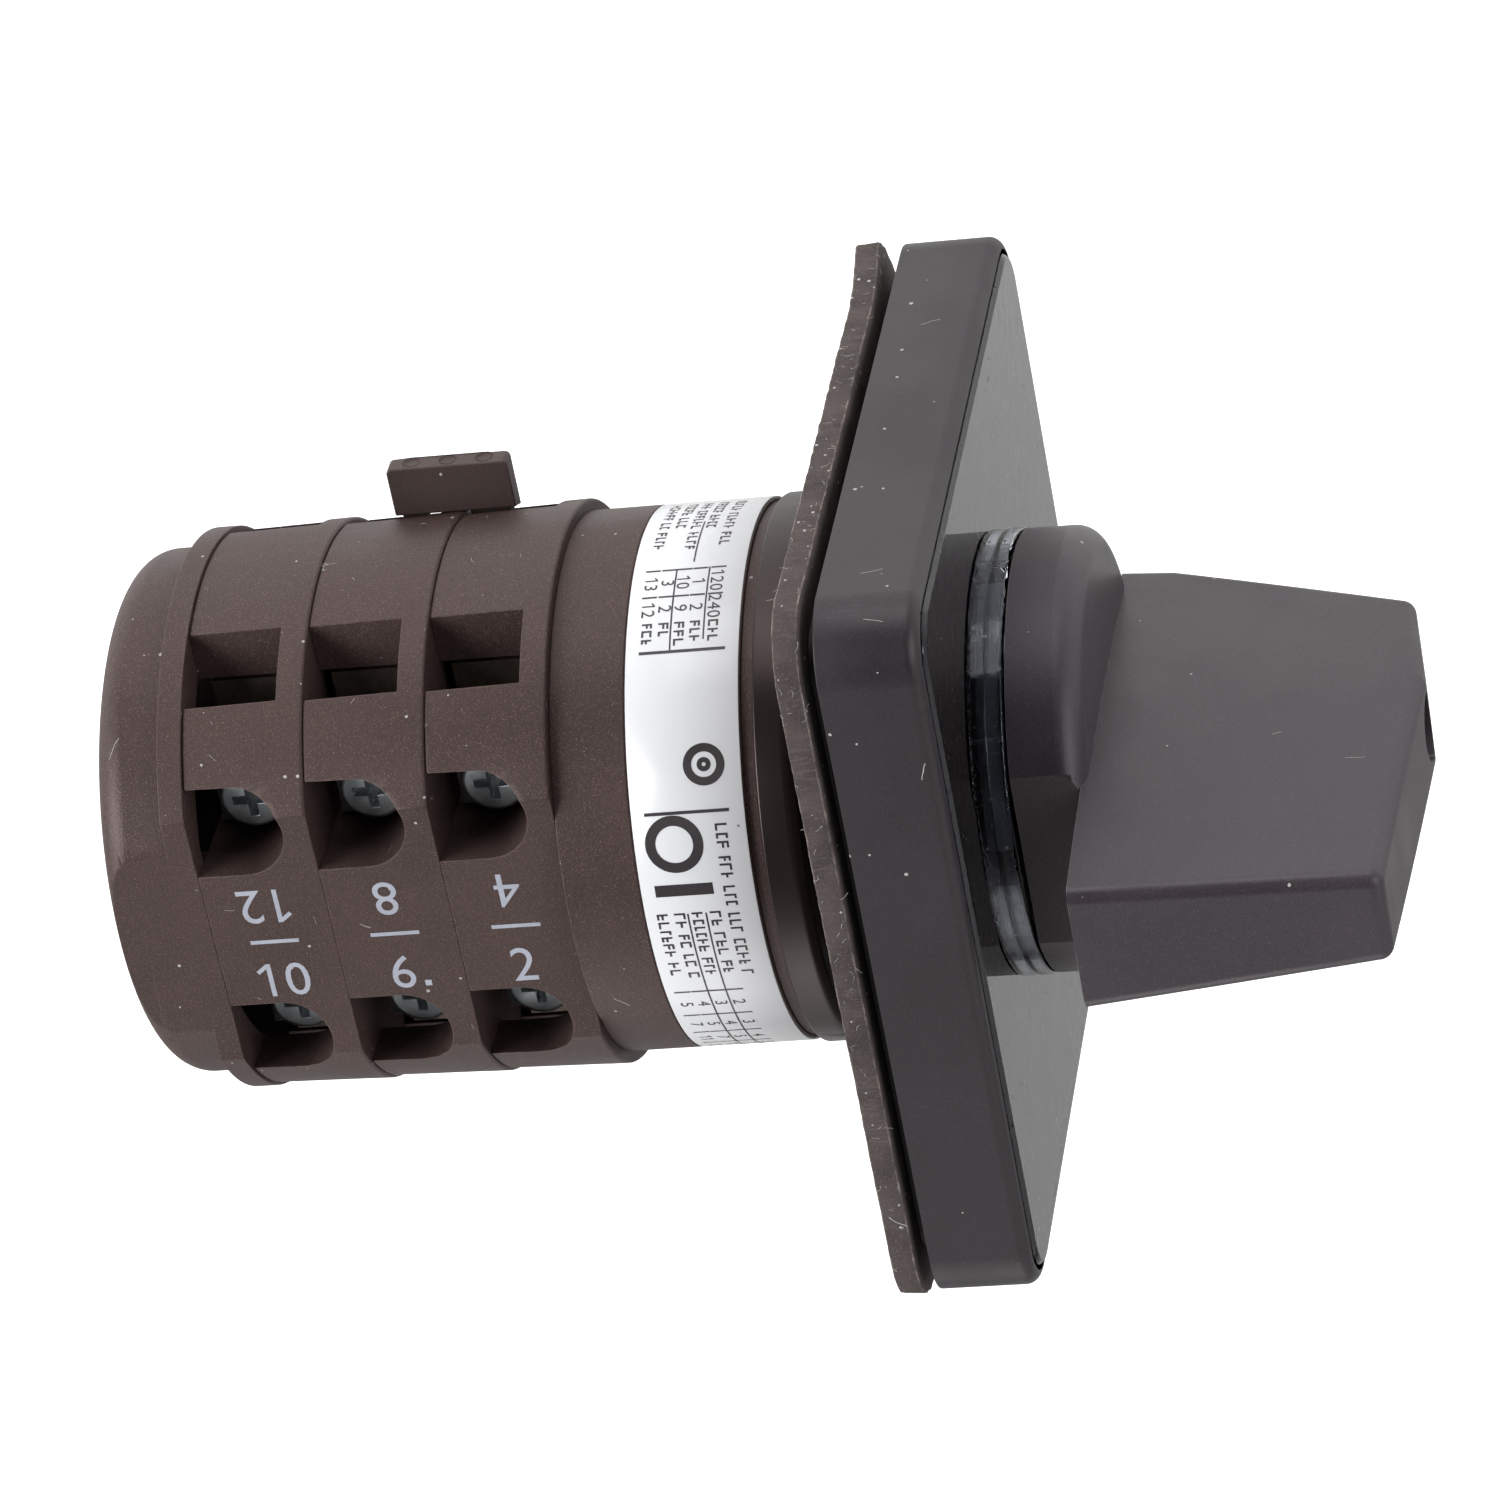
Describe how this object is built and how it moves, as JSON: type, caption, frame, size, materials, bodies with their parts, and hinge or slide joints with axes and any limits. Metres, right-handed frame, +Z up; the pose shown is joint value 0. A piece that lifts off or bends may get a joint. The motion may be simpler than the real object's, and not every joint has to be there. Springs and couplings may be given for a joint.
{
  "type": "rotary isolator switch",
  "caption": "Panel-mounted rotary isolator switch with a pointer knob, square front plate and stacked contact decks with screw terminals.",
  "frame": {"origin": "centre of the rear face of the gasket, on the switch axis, where the panel face lies", "axes": "+Y along the switch axis from the knob to the rear cover, +Z up, +X to the right as seen from the knob"},
  "size_m": [0.0484, 0.0782, 0.0484],
  "materials": {
    "black_plastic": "satin, fine spark texture",
    "thermoset": "matt, spark-eroded grain",
    "collar_plastic": "satin",
    "gasket_rubber": "matt, cut edges",
    "legend_grey": "satin",
    "clear_plastic": "polished",
    "white_label": "gloss",
    "steel": "plain",
    "zinc": "bright zinc",
    "contact_brass": "plain",
    "silver_bridge": "silvered",
    "cam_plastic": "satin, unfilled",
    "nut_plastic": "satin",
    "jumper_plastic": "satin"
  },
  "bodies": {
    "housing": {"bezel": "black_plastic", "tie_screws": "zinc", "tie_nuts": "zinc", "gasket": "gasket_rubber", "legend_plate": "legend_grey", "clear_cover": "clear_plastic", "neck_nut": "nut_plastic", "lock_ring": "collar_plastic", "front_housing": "thermoset", "rear_cover": "thermoset", "detent_cover": "thermoset", "rating_label": "white_label", "detent_spring_left": "steel", "detent_spring_right": "steel", "jumper_cover": "jumper_plastic", "jumper_strap": "contact_brass", "deck_1": "thermoset", "terminals_1": "contact_brass", "terminal_screws_1": "zinc", "clamp_plates_1": "zinc", "return_spring_1_left": "steel", "return_spring_1_right": "steel", "deck_2": "thermoset", "terminals_2": "contact_brass", "terminal_screws_2": "zinc", "clamp_plates_2": "zinc", "return_spring_2_left": "steel", "return_spring_2_right": "steel", "deck_3": "thermoset", "terminals_3": "contact_brass", "terminal_screws_3": "zinc", "clamp_plates_3": "zinc", "return_spring_3_left": "steel", "return_spring_3_right": "steel"},
    "handle": {"knob": "black_plastic", "knob_screw": "zinc", "shaft": "steel", "detent_star": "cam_plastic", "cam_1": "cam_plastic", "cam_2": "cam_plastic", "cam_3": "cam_plastic", "circlip": "steel"},
    "contact_1_left": {"follower_1_left": "cam_plastic", "contact_bridge_1_left": "silver_bridge"},
    "contact_1_right": {"follower_1_right": "cam_plastic", "contact_bridge_1_right": "silver_bridge"},
    "contact_2_left": {"follower_2_left": "cam_plastic", "contact_bridge_2_left": "silver_bridge"},
    "contact_2_right": {"follower_2_right": "cam_plastic", "contact_bridge_2_right": "silver_bridge"},
    "contact_3_left": {"follower_3_left": "cam_plastic", "contact_bridge_3_left": "silver_bridge"},
    "contact_3_right": {"follower_3_right": "cam_plastic", "contact_bridge_3_right": "silver_bridge"},
    "plunger_left": {"detent_plunger_left": "steel"},
    "plunger_right": {"detent_plunger_right": "steel"}
  },
  "joints": [
    {"name": "handle_turn", "type": "hinge", "parent": "housing", "child": "handle", "pos_m": [0, 0, 0], "axis": [0, 1, 0], "range_deg": [0, 90]},
    {"name": "contact_slide_1_left", "type": "slide", "parent": "housing", "child": "contact_1_left", "axis": [-1, 0, 0], "range_m": [0, 0.0019], "deforming": ["return_spring_1_left"]},
    {"name": "contact_slide_1_right", "type": "slide", "parent": "housing", "child": "contact_1_right", "axis": [1, 0, 0], "range_m": [0, 0.0019], "deforming": ["return_spring_1_right"]},
    {"name": "contact_slide_2_left", "type": "slide", "parent": "housing", "child": "contact_2_left", "axis": [-1, 0, 0], "range_m": [0, 0.0019], "deforming": ["return_spring_2_left"]},
    {"name": "contact_slide_2_right", "type": "slide", "parent": "housing", "child": "contact_2_right", "axis": [1, 0, 0], "range_m": [0, 0.0019], "deforming": ["return_spring_2_right"]},
    {"name": "contact_slide_3_left", "type": "slide", "parent": "housing", "child": "contact_3_left", "axis": [-1, 0, 0], "range_m": [0, 0.0019], "deforming": ["return_spring_3_left"]},
    {"name": "contact_slide_3_right", "type": "slide", "parent": "housing", "child": "contact_3_right", "axis": [1, 0, 0], "range_m": [0, 0.0019], "deforming": ["return_spring_3_right"]},
    {"name": "plunger_slide_left", "type": "slide", "parent": "housing", "child": "plunger_left", "axis": [-1, 0, 0], "range_m": [0, 0.0008], "stiffness_N_per_m": 600, "deforming": ["detent_spring_left"]},
    {"name": "plunger_slide_right", "type": "slide", "parent": "housing", "child": "plunger_right", "axis": [1, 0, 0], "range_m": [0, 0.0008], "stiffness_N_per_m": 600, "deforming": ["detent_spring_right"]}
  ],
  "couplings": [
    {"joint": "contact_slide_1_left", "follows": "handle_turn", "m_per_rad": 0.0012096},
    {"joint": "contact_slide_1_right", "follows": "handle_turn", "m_per_rad": 0.0012096},
    {"joint": "contact_slide_2_left", "follows": "handle_turn", "m_per_rad": 0.0012096},
    {"joint": "contact_slide_2_right", "follows": "handle_turn", "m_per_rad": 0.0012096},
    {"joint": "contact_slide_3_left", "follows": "handle_turn", "m_per_rad": 0.0012096},
    {"joint": "contact_slide_3_right", "follows": "handle_turn", "m_per_rad": 0.0012096}
  ]
}
